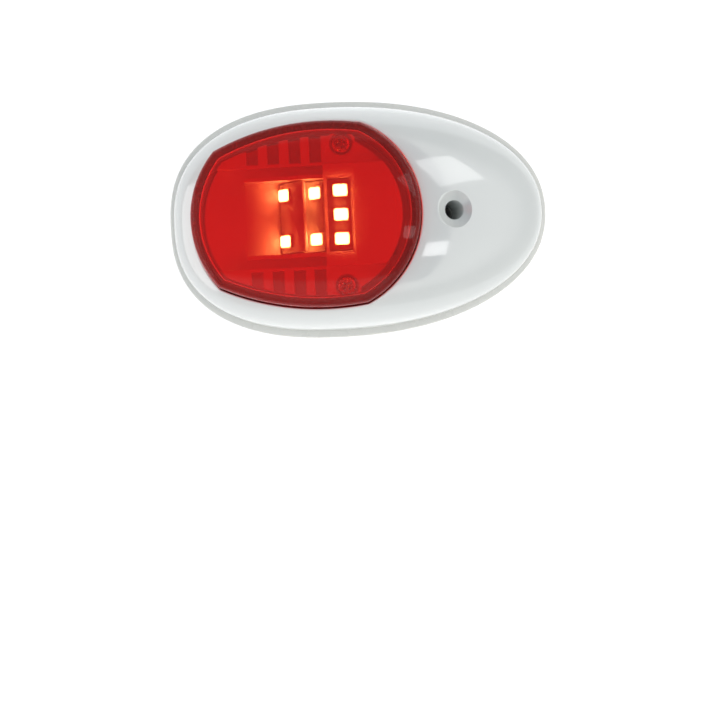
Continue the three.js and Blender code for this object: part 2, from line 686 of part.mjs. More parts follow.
function addSlopingBoard(name, board, ledNames, ledRise) {
  const frame = faceFrame(board);
  const length = board.run / Math.cos(THREE.MathUtils.degToRad(board.tilt));
  const slab = new THREE.BoxGeometry(length - 2 * BOARD_END_GAP, 2 * BOARD_HALF_WIDTH, BOARD_THICK);
  slab.translate(length / 2, 0, -BOARD_THICK / 2);
  const mesh = addMesh(name, slab, 'board');
  frame.add(mesh);
  ledNames.forEach((ledName, i) => {
    const led = addMesh(ledName, ledBlock(), 'led');
    led.position.set(ledRise, (i === 0 ? 1 : -1) * SLOPE_LED_PITCH, LED_GAP);
    frame.add(led);
  });
}

// A moulded package with a slightly drawn-in top.
function ledBlock() {
  const draft = 0.12;
  const outline = new THREE.Shape();
  outline.moveTo(-LED_LENGTH / 2, 0);
  outline.lineTo(LED_LENGTH / 2, 0);
  outline.lineTo(LED_LENGTH / 2 - draft, LED_HEIGHT);
  outline.lineTo(-LED_LENGTH / 2 + draft, LED_HEIGHT);
  const block = new THREE.ExtrudeGeometry(outline, { depth: LED_WIDTH, bevelEnabled: false });
  block.rotateX(Math.PI / 2);
  block.translate(0, LED_WIDTH / 2, 0);
  return block;
}

function addSideBoard() {
  const { x, z, length } = SIDE_BOARD;
  const slab = new THREE.BoxGeometry(length, 2 * BOARD_HALF_WIDTH, BOARD_THICK);
  slab.translate(x, 0, z - BOARD_THICK / 2);
  addMesh('side_led_board', slab, 'board');
  ['side_led_upper', 'side_led_middle', 'side_led_lower'].forEach((name, i) => {
    const led = addMesh(name, ledBlock(), 'led');
    led.position.set(x + 0.3, (1 - i) * LED_PITCH, z + LED_GAP);
  });
}

// ---------------------------------------------------------------- screws

// A pan-head screw standing on z = 0 of its own frame, with a cross recess cut in the head.
function panScrew(length) {
  const profile = [
    [0, -length],
    [SCREW_SHANK_R * 0.4, -length],
    [SCREW_SHANK_R, -length + 1.2],
    [SCREW_SHANK_R, 0],
    [PAN_HEAD_R, 0],
    [PAN_HEAD_R, PAN_HEAD_H * 0.45],
    [PAN_HEAD_R * 0.82, PAN_HEAD_H * 0.85],
    [PAN_HEAD_R * 0.45, PAN_HEAD_H],
    [0, PAN_HEAD_H],
  ];
  let solid = toSolid(turned(profile, 18));
  const { depth, half, blade } = CROSS_RECESS;
  solid = solid.subtract(box(-half, half, -blade, blade, PAN_HEAD_H - depth, PAN_HEAD_H + 1));
  solid = solid.subtract(box(-blade, blade, -half, half, PAN_HEAD_H - depth, PAN_HEAD_H + 1));
  return toGeometry(solid);
}

function addScrews() {
  const carrierScrew = panScrew(CARRIER_SCREW_LENGTH);
  const rearScrew = panScrew(REAR_SCREW_LENGTH);
  [['upper', 1, 0.35], ['lower', -1, 0.8]].forEach(([side, sign, turn]) => {
    const front = addMesh(`carrier_screw_${side}`, carrierScrew, 'steel');
    front.position.set(SCREW_PAD.x, sign * SCREW_PAD.y, BAND_Z - PAD_SINK + PART_GAP);
    front.rotation.z = turn;
    const rear = addMesh(`rear_cover_screw_${side}`, rearScrew, 'steel');
    rear.position.set(REAR_SCREW.x, sign * REAR_SCREW.y, SHELL_BOTTOM - PART_GAP);
    rear.rotation.set(Math.PI, 0, turn);
  });
}

// ---------------------------------------------------------------- driver electronics

function addDriver() {
  const { x0, x1, half, z, thick } = DRIVER_BOARD;
  addMesh('driver_board', toGeometry(box(x0, x1, -half, half, z, z + thick)), 'driver');
  const top = z + thick + PART_GAP;
  const block = (part) => toGeometry(box(part.x0, part.x1, part.y0, part.y1, top, top + part.height));
  const can = (part, sides) => {
    return toGeometry(upright(part.x, part.y, part.r, part.r, top, top + part.height, sides));
  };
  addMesh('driver_chip', block(CHIP), 'chip');
  addMesh('polarity_diode', block(DIODE), 'chip');
  addMesh('power_inductor', can(COIL, 8), 'ferrite');
  addMesh('input_capacitor', can(CAPACITOR, 24), 'capacitor');
  ['forward', 'quarter', 'side'].forEach((name, i) => {
    const start = RESISTOR.x + RESISTOR.pitch * i;
    const resistor = block({ ...RESISTOR, x0: start, x1: start + RESISTOR.length });
    addMesh(`${name}_led_resistor`, resistor, 'chip');
  });
}

// Leads from the driver board up to the undersides of the three LED boards, through the carrier.
function jumperPaths() {
  const foot = DRIVER_BOARD.z + DRIVER_BOARD.thick + 0.1;
  const sideFoot = SIDE_BOARD.z - BOARD_THICK - 0.15;
  const routes = [
    [[-7.2, 5.4, foot], [-7.3, 5.4, 9.2], [-10.6, 5.4, 10.0], [-13.3, 5.4, 11.1]],
    [[-7.2, -1.2, foot], [-7.5, -1.2, 9.6], [-8.5, -1.2, 10.6], [-8.9, -1.2, 11.7]],
    [[-4.4, -2.2, foot], [-4.4, -2.2, 10.3], [-4.2, -2.2, 12.0], [-4.2, -2.2, sideFoot]],
  ];
  return routes.map((route) => new THREE.CatmullRomCurve3(route.map((p) => new THREE.Vector3(...p))));
}

function tubeGeometry(path, radius) {
  const section = new THREE.Shape();
  section.absarc(0, 0, radius, 0, 2 * Math.PI);
  return new THREE.ExtrudeGeometry(section, { steps: 10, curveSegments: 4, extrudePath: path });
}

function tube(path, radius) {
  return toSolid(tubeGeometry(path, radius));
}

function addJumpers() {
  ['forward', 'quarter', 'side'].forEach((name, i) => {
    addMesh(`${name}_jumper_lead`, tubeGeometry(jumperPaths()[i], LEAD_R), 'wire');
  });
}

// ---------------------------------------------------------------- assembly

function build() {
  addMesh('mounting_gasket', toGeometry(mountingGasket()), 'gasket');
  addMesh('base_plate', toGeometry(basePlate()), 'base');
  addMesh('rear_cover', toGeometry(rearCover()), 'cover');
  addMesh('carrier_gasket', toGeometry(carrierGasket()), 'gasket');
  addMesh('cable_gland', cableGland(), 'gasket').position.x = GLAND_X;
  addMesh('housing_shell', toGeometry(housingShell()), 'shell');
  addMesh('lens', toGeometry(lens()), 'lens');
  addMesh('lens_seal', toGeometry(lensSeal()), 'seal');
  addMesh('led_carrier', toGeometry(ledCarrier()), 'carrier');
  addSlopingBoard('forward_led_board', FORWARD_BOARD, ['forward_led_upper', 'forward_led_lower'], 1.95);
  addSlopingBoard('quarter_led_board', QUARTER_BOARD, ['quarter_led_upper', 'quarter_led_lower'], 3.44);
  addSideBoard();
  addScrews();
  addDriver();
  addJumpers();
}

build();

export default light;
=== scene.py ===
"""Looks of a port navigation light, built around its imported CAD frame.

The light lies on its back on a pale floor: z = 0 is its mounting face, -X the bow end, +X the tail.
Lengths are millimetres and angles degrees, except the angles of outlines, which are radians.
Meshes are scaled to metres when they are made.
"""

import math

import bmesh
import bpy
from mathutils import Matrix, Vector, noise


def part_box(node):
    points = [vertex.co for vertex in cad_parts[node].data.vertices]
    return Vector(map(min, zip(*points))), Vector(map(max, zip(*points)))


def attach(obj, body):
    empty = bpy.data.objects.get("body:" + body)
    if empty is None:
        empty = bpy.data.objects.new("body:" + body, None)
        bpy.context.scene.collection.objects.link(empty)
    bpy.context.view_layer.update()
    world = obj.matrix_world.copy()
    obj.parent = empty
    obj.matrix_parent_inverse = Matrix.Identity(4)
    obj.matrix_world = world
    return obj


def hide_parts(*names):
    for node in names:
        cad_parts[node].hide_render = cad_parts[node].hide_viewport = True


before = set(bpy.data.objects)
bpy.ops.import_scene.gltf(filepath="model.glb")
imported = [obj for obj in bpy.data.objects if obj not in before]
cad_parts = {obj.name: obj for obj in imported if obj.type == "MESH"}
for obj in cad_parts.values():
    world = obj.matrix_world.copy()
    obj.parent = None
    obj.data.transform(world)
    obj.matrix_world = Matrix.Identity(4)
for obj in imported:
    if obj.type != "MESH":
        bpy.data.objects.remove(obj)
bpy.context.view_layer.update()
MM = 0.001

# ---------------------------------------------------------------- dimensions of the CAD model

WIDEST_X = -5
BOW_EXPONENT = 2.45
TAIL_EXPONENT = 2.15
BASE_EGG = (36.5, 46.5, 26.0)
SHELL_EGG = (35.5, 45.5, 24.4)

GASKET_TOP = 1.0
BASE_FLOOR_TOP = 2.6
BASE_RIM_TOP = 3.9
SHELL_BOTTOM = 4.0
SHELL_SKIRT = 0.8
REAR_COVER_TOP = 5.4
SEAL_BOTTOM = 7.2
LENS_BOTTOM = 7.8

SHELL_WALL = 2.2
CROWN_X = -1
CROWN_RISE = 17
CROWN_FALL = 11
CROWN_REACH = 41
CROWN_POWER = 1.6
SHOULDER_POWER = 3
SHOULDER_ROOT = 1 / 2.2

BOW_ARC = (-13.4, 0, 22.5)
TAIL_ARC = (-7.9, 0, 21.5)
FLANK_ARC = (-6.95, -34.9, 54.9)
WINDOW_CENTRE_X = -10.5

FIT_GAP = 0.3
LENS_WALL = 2.1
LENS_TOP = 27
LENS_APEX_X = -7
LENS_LENGTH_CROWN = 0.01
LENS_WIDTH_CROWN = 0.017
LENS_EDGE_R = 0.9
LENS_INNER_EDGE_R = 0.4

TAIL_HOLE_X = 21.2
TAIL_HOLE_LEAN = 14
TAIL_HOLE_R = 2.05
TAIL_CLEARANCE_R = 2.4
COUNTERSINK_R = 4.0
COUNTERSINK_DEPTH = 1.9
PILLAR_R = 3.6
PILLAR_BOTTOM = 5.7

SHELL_LAND = 2.4
HULL_SCREW_XS = (-26.2, 6.0)
HULL_SCREW_R = 2.0
HULL_SINK_R = 3.8
HULL_SINK_DEPTH = 1.3
BOW_HOOK = {"x": -36.9, "thick": 1.1, "reach": 0.65, "half": 3.2, "top": 6.2}

BOARD_TILTS = {"forward": 45, "quarter": 38, "side": 0}
BOARD_THICK = 1.0
LED_LENGTH = 3.5
LED_WIDTH = 2.8
LED_HEIGHT = 0.8

PAN_HEAD_R = 2.1
PAN_HEAD_H = 1.3
SCREW_SHANK_R = 1.0
SCREW_PILOT_R = 1.1
REAR_SCREW = (28.5, 8.5)
REAR_BOSS_R = 2.7
REAR_BOSS_GAP = 0.6
REAR_PILOT_TOP = 10

GLAND_BORE_R = 3.3
GLAND_NECK_R = 4.8
GLAND_FLANGE_R = 6.2
GLAND_BOTTOM = 3.2
GLAND_FLANGE_TOP = 3.9
GLAND_TOP = 6.4

# ---------------------------------------------------------------- dimensions of the finish

SHELL_LIP = 0.45
LIP_TURNS = (90, 70, 50, 30, 0)
FOOT_EASE = 0.15
RIM_ROUND = 0.35
HOLE_EASE = 0.12
POST_TOP_BELOW_SURFACE = 0.9
LENS_FOOT_EASE = 0.2
GLOW_DOME_BASE = 0.05
CROSS_TURN_UPPER = 0.35
CROSS_TURN_LOWER = 0.8
RING_STEPS = 260
TURNED_STEPS = 64
CORNER_SEARCH = 0.2
HALVINGS = 40


# ---------------------------------------------------------------- outlines and surfaces


def inset_egg(egg, inset):
    return tuple(size - inset for size in egg)


def egg_norm(x, y, egg):
    """0 at the widest station's centre, 1 on the egg's edge."""
    bow, tail, half = egg
    along, power = (bow, BOW_EXPONENT) if x < WIDEST_X else (tail, TAIL_EXPONENT)
    total = abs((x - WIDEST_X) / along) ** power + abs(y / half) ** power
    return total ** (1 / power)


def egg_reach(angle, egg, centre_x):
    """Distance from (centre_x, 0) to the egg's edge, along a direction."""
    low, high = 0.0, 2 * max(egg)
    for _ in range(HALVINGS):
        middle = (low + high) / 2
        inside = egg_norm(centre_x + middle * math.cos(angle), middle * math.sin(angle), egg) < 1
        low, high = (middle, high) if inside else (low, middle)
    return (low + high) / 2


def shell_height(x, y, inset=0.0):
    norm = min(1, egg_norm(x, y, inset_egg(SHELL_EGG, inset)))
    rise = CROWN_RISE - CROWN_FALL * abs((x - CROWN_X) / CROWN_REACH) ** CROWN_POWER
    shoulder = (1 - norm**SHOULDER_POWER) ** SHOULDER_ROOT
    return SHELL_BOTTOM + SHELL_SKIRT + (rise - inset) * shoulder


def arc_reach(angle, arc, inset):
    """Distance from the window's centre to an arc, along a direction."""
    dx, dy = math.cos(angle), abs(math.sin(angle))
    from_x, from_y = WINDOW_CENTRE_X - arc[0], -arc[1]
    half = dx * from_x + dy * from_y
    rest = from_x**2 + from_y**2 - (arc[2] - inset) ** 2
    return -half + math.sqrt(half**2 - rest)


def window_reach(angle, inset=0.0):
    end_arc = TAIL_ARC if math.cos(angle) > 0 else BOW_ARC
    return min(arc_reach(angle, end_arc, inset), arc_reach(angle, FLANK_ARC, inset))


def corner_angle(end_arc, inset):
    """Direction of the corner where an end arc meets the flank."""
    low = CORNER_SEARCH if end_arc is TAIL_ARC else math.pi - CORNER_SEARCH
    high = math.pi / 2
    for _ in range(HALVINGS):
        middle = (low + high) / 2
        nearer = arc_reach(middle, end_arc, inset) < arc_reach(middle, FLANK_ARC, inset)
        low, high = (middle, high) if nearer else (low, middle)
    return (low + high) / 2


def window_angles(inset=0.0, steps=RING_STEPS):
    """Directions to the window's edge, with its four corners at the same places for every inset."""
    tail, bow = corner_angle(TAIL_ARC, inset), corner_angle(BOW_ARC, inset)
    stops = [-tail, tail, bow, 2 * math.pi - bow, 2 * math.pi - tail]
    counts = [round(steps * share) for share in (0.3, 0.2, 0.3, 0.2)]
    return [
        stops[k] + (stops[k + 1] - stops[k]) * i / counts[k]
        for k in range(4)
        for i in range(counts[k])
    ]


def around(centre_x, angle, reach):
    return centre_x + reach * math.cos(angle), reach * math.sin(angle)


def window_ring(inset, height, steps=RING_STEPS):
    """The window's outline as points, where height is a number or a function of x and y."""
    points = []
    for angle in window_angles(inset, steps):
        x, y = around(WINDOW_CENTRE_X, angle, window_reach(angle, inset))
        points.append((x, y, height(x, y) if callable(height) else height))
    return points


def window_depth(x, y, inset):
    """How far a point is inside the window's outline."""
    end_arc = TAIL_ARC if x > WINDOW_CENTRE_X else BOW_ARC
    from_end = end_arc[2] - inset - math.hypot(x - end_arc[0], y)
    from_flank = FLANK_ARC[2] - inset - math.hypot(x - FLANK_ARC[0], abs(y) - FLANK_ARC[1])
    return max(0.0, min(from_end, from_flank))


def lens_height(x, y, inset=0.0):
    """A crowned top on upright walls, with a rounded edge between them."""
    thick = inset - FIT_GAP
    crown = LENS_LENGTH_CROWN * (x - LENS_APEX_X) ** 2 + LENS_WIDTH_CROWN * y**2
    radius = max(LENS_INNER_EDGE_R, LENS_EDGE_R - thick)
    short = max(0.0, radius - window_depth(x, y, inset))
    drop = radius - math.sqrt(radius**2 - short**2)
    return LENS_TOP - thick - crown - drop


# ---------------------------------------------------------------- meshes


def new_piece(name, points, faces, sharp_angle=35, place=None):
    """A closed mesh from points in millimetres, smooth but for its edges past sharp_angle."""
    mesh = bpy.data.meshes.new(name)
    mesh.from_pydata([Vector(p) for p in points], [], faces)
    if place is not None:
        mesh.transform(place)
    mesh.transform(Matrix.Scale(MM, 4))
    mesh.update()
    piece = bpy.data.objects.new(name, mesh)
    bpy.context.scene.collection.objects.link(piece)
    shade(piece, sharp_angle)
    return piece


def shade(piece, sharp_angle):
    mesh = piece.data
    mesh.polygons.foreach_set("use_smooth", [True] * len(mesh.polygons))
    mesh.set_sharp_from_angle(angle=math.radians(sharp_angle))


def loft(rings, looped=False, capped=(False, False)):
    """Points and faces that join rings of equal length, each to the next."""
    count = len(rings[0])
    points = [p for ring in rings for p in ring]
    faces = []
    pairs = len(rings) if looped else len(rings) - 1
    for k in range(pairs):
        near, far = k * count, ((k + 1) % len(rings)) * count
        for i in range(count):
            j = (i + 1) % count
            faces.append((near + i, near + j, far + j, far + i))
    if capped[0]:
        faces.append(tuple(reversed(range(count))))
    if capped[1]:
        last = (len(rings) - 1) * count
        faces.append(tuple(range(last, last + count)))
    return points, faces


def face_outwards(piece):
    mesh = bmesh.new()
    mesh.from_mesh(piece.data)
    bmesh.ops.remove_doubles(mesh, verts=mesh.verts, dist=1e-7)
    bmesh.ops.recalc_face_normals(mesh, faces=mesh.faces)
    mesh.to_mesh(piece.data)
    mesh.free()
    return piece


def ring_piece(name, rings, looped=False, capped=(False, False), sharp_angle=35, place=None):
    points, faces = loft(rings, looped, capped)
    piece = face_outwards(new_piece(name, points, faces, sharp_angle, place))
    shade(piece, sharp_angle)
    return piece


def circle(x, y, radius, z):
    turns = [2 * math.pi * i / TURNED_STEPS for i in range(TURNED_STEPS)]
    return [(x + radius * math.cos(t), y + radius * math.sin(t), z) for t in turns]


def turned(name, profile, x=0.0, y=0.0, place=None, looped=False):
    """A round piece from (radius, height) pairs, capped at both ends unless it is looped."""
    rings = [circle(x, y, radius, z) for radius, z in profile]
    capped = (not looped, not looped)
    return ring_piece(name, rings, looped=looped, capped=capped, place=place)


def rounded_rectangle(half_x, half_y, radius, z, corner_steps=6):
    points = []
    for k, (side_x, side_y) in enumerate([(1, 1), (-1, 1), (-1, -1), (1, -1)]):
        for i in range(corner_steps + 1):
            turn = math.pi / 2 * (k + i / corner_steps)
            x = side_x * (half_x - radius) + radius * math.cos(turn)
            y = side_y * (half_y - radius) + radius * math.sin(turn)
            points.append((x, y, z))
    return points


def block(name, half_x, half_y, z0, z1, edge=0.1, corner=0.15, place=None):
    """A box with rounded upright corners and softened edges."""
    rings = [
        rounded_rectangle(half_x - edge, half_y - edge, max(corner - edge, 0.01), z0),
        rounded_rectangle(half_x, half_y, corner, z0 + edge),
        rounded_rectangle(half_x, half_y, corner, z1 - edge),
        rounded_rectangle(half_x - edge, half_y - edge, max(corner - edge, 0.01), z1),
    ]
    return ring_piece(name, rings, capped=(True, True), sharp_angle=50, place=place)


def finish_modifiers(piece, sharp_angle=35):
    """Turns a piece's modifiers into its mesh."""
    graph = bpy.context.evaluated_depsgraph_get()
    piece.data = bpy.data.meshes.new_from_object(piece.evaluated_get(graph))
    piece.modifiers.clear()
    shade(piece, sharp_angle)
    return piece


def combine(piece, operation, *others):
    """Cuts other pieces out of a piece, or joins them to it, and removes them."""
    for other in others:
        step = piece.modifiers.new(operation, "BOOLEAN")
        step.operation = operation
        step.solver = "EXACT"
        step.object = other
    finish_modifiers(piece)
    for other in others:
        bpy.data.objects.remove(other)
    return piece


def cut(piece, *others):
    return combine(piece, "DIFFERENCE", *others)


def join(piece, *others):
    return combine(piece, "UNION", *others)


def softened_copy(node, width=0.12):
    """A CAD node's shape with its flat faces merged and its edges rounded."""
    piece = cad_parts[node].copy()
    piece.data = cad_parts[node].data.copy()
    piece.name = f"{node}_moulded"
    piece.parent = None
    for key in list(piece.keys()):
        del piece[key]
    bpy.context.scene.collection.objects.link(piece)
    mesh = bmesh.new()
    mesh.from_mesh(piece.data)
    bmesh.ops.remove_doubles(mesh, verts=mesh.verts, dist=1e-7)
    flat = math.radians(1.5)
    bmesh.ops.dissolve_limit(mesh, angle_limit=flat, verts=mesh.verts, edges=mesh.edges)
    mesh.to_mesh(piece.data)
    mesh.free()
    bevel = piece.modifiers.new("edges", "BEVEL")
    bevel.width = width * MM
    bevel.segments = 2
    bevel.limit_method = "ANGLE"
    bevel.angle_limit = math.radians(30)
    return finish_modifiers(piece, 40)


def dress(piece, material, slot, *nodes):
    """Gives a piece its material, and puts it in the place of CAD nodes."""
    piece.data.materials.clear()
    piece.data.materials.append(material)
    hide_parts(*nodes)
    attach(piece, "root")
    return piece


# ---------------------------------------------------------------- materials


class Surface:
    """A Principled material with a few texture nodes in object coordinates, which are metres."""

    def __init__(self, name, roughness=0.4, metallic=0.0, ior=1.5):
        self.material = bpy.data.materials.new(name)
        self.material.use_nodes = True
        self.tree = self.material.node_tree
        self.tree.nodes.clear()
        self.output = self.add("ShaderNodeOutputMaterial")
        self.shader = self.add("ShaderNodeBsdfPrincipled")
        self.link(self.shader.outputs["BSDF"], self.output.inputs["Surface"])
        self.coordinates = self.add("ShaderNodeTexCoord").outputs["Object"]
        self.set(Roughness=roughness, Metallic=metallic, IOR=ior)

    def add(self, kind):
        return self.tree.nodes.new(kind)

    def link(self, source, target):
        self.tree.links.new(source, target)

    def set(self, **values):
        for name, value in values.items():
            self.shader.inputs[name.replace("_", " ")].default_value = value

    def noise(self, size, detail=4.0):
        """Noise with features of about size millimetres."""
        texture = self.add("ShaderNodeTexNoise")
        texture.inputs["Scale"].default_value = 1 / (size * MM)
        texture.inputs["Detail"].default_value = detail
        self.link(self.coordinates, texture.inputs["Vector"])
        return texture.outputs["Fac"]

    def cells(self, size):
        """Distance to the nearest of many scattered points, about size millimetres apart."""
        texture = self.add("ShaderNodeTexVoronoi")
        texture.inputs["Scale"].default_value = 1 / (size * MM)
        self.link(self.coordinates, texture.inputs["Vector"])
        return texture.outputs["Distance"]

    def spread(self, source, low, high, start=0.3, end=0.7):
        """Maps a texture to values from low to high."""
        stretch = self.add("ShaderNodeMapRange")
        stretch.inputs["From Min"].default_value = start
        stretch.inputs["From Max"].default_value = end
        stretch.inputs["To Min"].default_value = low
        stretch.inputs["To Max"].default_value = high
        self.link(source, stretch.inputs["Value"])
        return stretch.outputs["Result"]

    def colours(self, source, first, second, start=0.3, end=0.7, target="Base Color"):
        ramp = self.add("ShaderNodeValToRGB")
        ramp.color_ramp.elements[0].position = start
        ramp.color_ramp.elements[0].color = (*first, 1)
        ramp.color_ramp.elements[1].position = end
        ramp.color_ramp.elements[1].color = (*second, 1)
        self.link(source, ramp.inputs["Fac"])
        self.link(ramp.outputs["Color"], self.shader.inputs[target])

    def rough(self, source, low, high):
        self.link(self.spread(source, low, high), self.shader.inputs["Roughness"])

    def bump(self, source, height, strength=1.0):
        """Relief of about height millimetres."""
        node = self.add("ShaderNodeBump")
        node.inputs["Distance"].default_value = height * MM
        node.inputs["Strength"].default_value = strength
        self.link(source, node.inputs["Height"])
        self.link(node.outputs["Normal"], self.shader.inputs["Normal"])


def moulded_plastic(name, tone, roughness, grain=0.004, shift=0.03):
    """Moulded thermoplastic: faint cloudiness, a little uneven gloss, and a fine skin."""
    surface = Surface(name, roughness)
    darker = [channel * (1 - shift) for channel in tone]
    surface.colours(surface.noise(14, 3), darker, tone)
    surface.rough(surface.noise(5, 4), roughness * 0.75, roughness * 1.25)
    surface.bump(surface.noise(0.9, 5), grain, 0.6)
    return surface


def glossy_shell():
    surface = moulded_plastic("gloss_white_abs", (0.8, 0.82, 0.79), 0.1, 0.002)
    surface.set(Coat_Weight=0.6, Coat_Roughness=0.02)
    return surface.material


def cream_base():
    return moulded_plastic("cream_white_abs", (0.93, 0.92, 0.86), 0.28, 0.002, 0.015).material


def grey_cover():
    return moulded_plastic("grey_abs", (0.5, 0.52, 0.49), 0.45, 0.01, 0.06).material


def white_carrier():
    surface = moulded_plastic("white_reflector_abs", (0.88, 0.87, 0.84), 0.35, 0.004, 0.05)
    return surface.material


def foam():
    """Closed-cell foam: small dark cells with a matt skin between them."""
    surface = Surface("closed_cell_foam", 0.9)
    cells = surface.cells(0.55)
    surface.colours(cells, (0.006, 0.005, 0.006), (0.028, 0.025, 0.028), 0.05, 0.5)
    surface.rough(surface.noise(1.5), 0.8, 0.97)
    surface.bump(cells, 0.08, 0.8)
    return surface.material


def moulded_rubber():
    surface = Surface("moulded_rubber", 0.65)
    surface.colours(surface.noise(3), (0.012, 0.011, 0.012), (0.025, 0.023, 0.024))
    surface.rough(surface.noise(1.2), 0.55, 0.75)
    surface.bump(surface.noise(0.25, 3), 0.015, 0.7)
    return surface.material


RED_GLASS = (0.98, 0.07, 0.06)
RED_DEPTH = (0.988, 0.7, 0.76)
RED_DEPTH_DENSITY = 900.0


def red_lens():
    """Clear red polycarbonate. Shadow and diffuse rays pass it as through red film."""
    surface = Surface("red_polycarbonate", 0.03, ior=1.22)
    surface.set(Transmission_Weight=0.82)
    surface.colours(surface.noise(20, 2), [c * 0.97 for c in RED_GLASS], RED_GLASS)
    surface.rough(surface.noise(6, 3), 0.015, 0.04)
    surface.bump(surface.noise(8, 2), 0.01, 0.25)
    per_face = [math.sqrt(channel) for channel in RED_GLASS]
    light_path = surface.add("ShaderNodeLightPath")
    shader = surface.shader.outputs["BSDF"]
    for ray in ("Is Shadow Ray", "Is Diffuse Ray"):
        clear = surface.add("ShaderNodeBsdfTransparent")
        clear.inputs["Color"].default_value = (*per_face, 1)
        mix = surface.add("ShaderNodeMixShader")
        surface.link(light_path.outputs[ray], mix.inputs[0])
        surface.link(shader, mix.inputs[1])
        surface.link(clear.outputs["BSDF"], mix.inputs[2])
        shader = mix.outputs["Shader"]
    surface.link(shader, surface.output.inputs["Surface"])
    depth = surface.add("ShaderNodeVolumeAbsorption")
    depth.inputs["Color"].default_value = (*RED_DEPTH, 1)
    depth.inputs["Density"].default_value = RED_DEPTH_DENSITY
    surface.link(depth.outputs["Volume"], surface.output.inputs["Volume"])
    return surface.material


def seal_adhesive():
    """A bonded bead with air bubbles along it."""
    surface = Surface("bonding_bead", 0.5)
    bubbles = surface.cells(0.7)
    surface.colours(bubbles, (0.62, 0.3, 0.3), (0.2, 0.06, 0.06), 0.15, 0.35)
    surface.rough(bubbles, 0.3, 0.6)
    surface.bump(bubbles, 0.1, 0.9)
    return surface.material


def board_mask():
    """White solder mask with the faint relief of the tracks under it."""
    surface = Surface("white_solder_mask", 0.35)
    surface.colours(surface.noise(2.5, 5), (0.6, 0.61, 0.58), (0.74, 0.75, 0.72))
    surface.rough(surface.noise(1.0), 0.28, 0.42)
    surface.bump(surface.noise(1.2, 2), 0.02, 0.5)
    return surface.material


def led_frame():
    surface = Surface("led_frame", 0.4)
    surface.colours(surface.noise(0.8), (0.76, 0.76, 0.72), (0.84, 0.84, 0.8))
    surface.rough(surface.noise(0.5), 0.3, 0.5)
    surface.bump(surface.noise(0.3), 0.004, 0.5)
    return surface.material


LED_GLOW = (0.22, 1.0, 0.27)
LED_STRENGTH = 165.0


def led_phosphor():
    """Lit phosphor, a little brighter in patches."""
    surface = Surface("led_phosphor", 0.5)
    grains = surface.noise(0.25, 3)
    surface.colours(grains, (0.85, 0.7, 0.3), (0.95, 0.85, 0.45))
    surface.colours(grains, [c * 0.9 for c in LED_GLOW], LED_GLOW, target="Emission Color")
    surface.rough(grains, 0.4, 0.6)
    surface.set(Emission_Strength=LED_STRENGTH)
    return surface.material


def stainless_steel():
    surface = Surface("stainless_steel", 0.28, metallic=1.0)
    surface.colours(surface.noise(0.6, 5), (0.42, 0.41, 0.4), (0.56, 0.55, 0.54))
    surface.rough(surface.noise(0.35, 5), 0.2, 0.38)
    surface.bump(surface.noise(0.2, 4), 0.006, 0.6)
    return surface.material


def green_mask():
    surface = Surface("green_solder_mask", 0.4)
    surface.colours(surface.noise(1.6, 5), (0.015, 0.09, 0.035), (0.03, 0.16, 0.06))
    surface.rough(surface.noise(1.0), 0.3, 0.5)
    surface.bump(surface.noise(1.0, 2), 0.02, 0.5)
    return surface.material


def black_epoxy():
    surface = Surface("black_epoxy", 0.55)
    surface.colours(surface.noise(0.4, 6), (0.014, 0.014, 0.015), (0.03, 0.03, 0.032))
    surface.rough(surface.noise(0.5), 0.45, 0.65)
    surface.bump(surface.noise(0.12, 3), 0.006, 0.7)
    return surface.material


def ferrite():
    surface = Surface("ferrite", 0.7)
    surface.colours(surface.noise(0.3, 6), (0.035, 0.035, 0.04), (0.065, 0.065, 0.07))
    surface.rough(surface.noise(0.5), 0.6, 0.8)
    surface.bump(surface.noise(0.1, 4), 0.01, 0.8)
    return surface.material


def capacitor_can():
    surface = Surface("capacitor_can", 0.25, metallic=1.0)
    surface.colours(surface.noise(1.5, 3), (0.55, 0.57, 0.6), (0.68, 0.7, 0.72))
    surface.rough(surface.noise(0.4, 5), 0.18, 0.34)
    surface.bump(surface.noise(0.3, 4), 0.004, 0.5)
    return surface.material


def lead_insulation():
    surface = Surface("red_pvc", 0.45)
    surface.colours(surface.noise(1.5), (0.36, 0.015, 0.015), (0.5, 0.022, 0.02))
    surface.rough(surface.noise(0.8), 0.35, 0.55)
    surface.bump(surface.noise(0.4), 0.006, 0.6)
    return surface.material


# ---------------------------------------------------------------- housing shell


def leaning_place():
    """Frame of the tail hole: its z axis leans towards the tail and its origin is on the shell."""
    at = Vector((TAIL_HOLE_X, 0, shell_height(TAIL_HOLE_X, 0)))
    return Matrix.Translation(at) @ Matrix.Rotation(math.radians(TAIL_HOLE_LEAN), 4, "Y")


def between(inner, outer, share, height):
    """A ring part of the way from one ring to another, on a surface."""
    ring = []
    for (x0, y0, _), (x1, y1, _) in zip(inner, outer):
        x, y = x0 + (x1 - x0) * share, y0 + (y1 - y0) * share
        ring.append((x, y, height(x, y)))
    return ring


def egg_ring(egg, z):
    """The egg's edge from the window's centre, in the directions of the window's outline."""
    points = []
    for angle in window_angles():
        x, y = around(WINDOW_CENTRE_X, angle, egg_reach(angle, egg, WINDOW_CENTRE_X))
        points.append((x, y, z))
    return points


def surface_rings(window, edge, height, count=34):
    """Rings from the window to the egg's edge, closer together where the surface turns down."""
    shares = [1 - (1 - k / count) ** 2.2 for k in range(count)]
    return [between(window, edge, share, height) for share in shares]


def lip_rings():
    """The window's rounded lip, from the surface in to the window's wall."""
    rings = []
    for turn in LIP_TURNS:
        out = SHELL_LIP * (1 - math.cos(math.radians(turn)))
        drop = SHELL_LIP * (1 - math.sin(math.radians(turn)))
        rings.append(window_ring(-out, lambda x, y, drop=drop: shell_height(x, y) - drop))
    return rings


